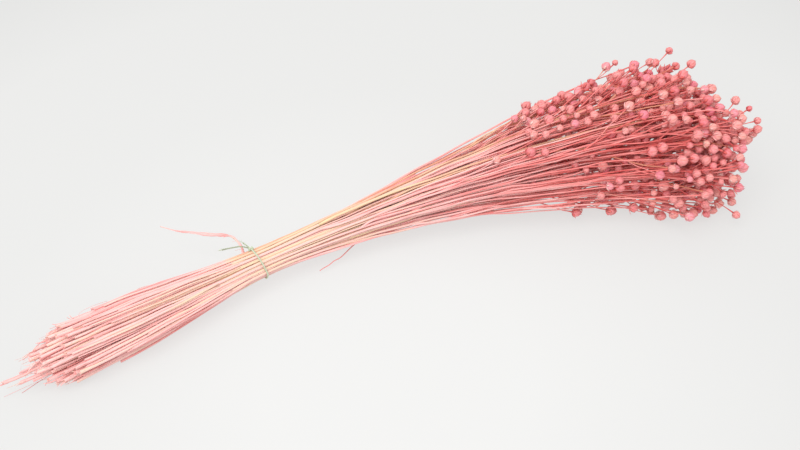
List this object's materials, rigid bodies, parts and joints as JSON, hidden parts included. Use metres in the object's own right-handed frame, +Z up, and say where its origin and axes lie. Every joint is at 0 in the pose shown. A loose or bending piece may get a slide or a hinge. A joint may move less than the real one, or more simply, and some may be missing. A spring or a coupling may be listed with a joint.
{
  "type": "dried flax bunch",
  "caption": "Bunch of dried, dyed flax lying on its side, with cut stems tied by a thin cord and a spreading head of round seed capsules.",
  "frame": {"origin": "middle of the bunch's footprint, on the surface it lies on", "axes": "+X along the bunch from its cut ends to its head, +Y across it, +Z up"},
  "size_m": [0.5704, 0.1446, 0.0978],
  "materials": {
    "flax": "dry, matte plant stems and seed capsules, dyed pink over straw",
    "twine": "matte twisted cord"
  },
  "bodies": {
    "root": {"plant_01": "flax", "plant_02": "flax", "plant_03": "flax", "plant_04": "flax", "plant_05": "flax", "plant_06": "flax", "plant_07": "flax", "plant_08": "flax", "plant_09": "flax", "plant_10": "flax", "plant_11": "flax", "plant_12": "flax", "plant_13": "flax", "plant_14": "flax", "plant_15": "flax", "plant_16": "flax", "plant_17": "flax", "plant_18": "flax", "plant_19": "flax", "plant_20": "flax", "plant_21": "flax", "plant_22": "flax", "plant_23": "flax", "plant_24": "flax", "plant_25": "flax", "plant_26": "flax", "plant_27": "flax", "plant_28": "flax", "plant_29": "flax", "plant_30": "flax", "plant_31": "flax", "plant_32": "flax", "plant_33": "flax", "plant_34": "flax", "plant_35": "flax", "plant_36": "flax", "plant_37": "flax", "plant_38": "flax", "plant_39": "flax", "plant_40": "flax", "plant_41": "flax", "plant_42": "flax", "plant_43": "flax", "plant_44": "flax", "plant_45": "flax", "plant_46": "flax", "plant_47": "flax", "plant_48": "flax", "plant_49": "flax", "plant_50": "flax", "plant_51": "flax", "plant_52": "flax", "plant_53": "flax", "plant_54": "flax", "tie": "twine"}
  },
  "joints": []
}
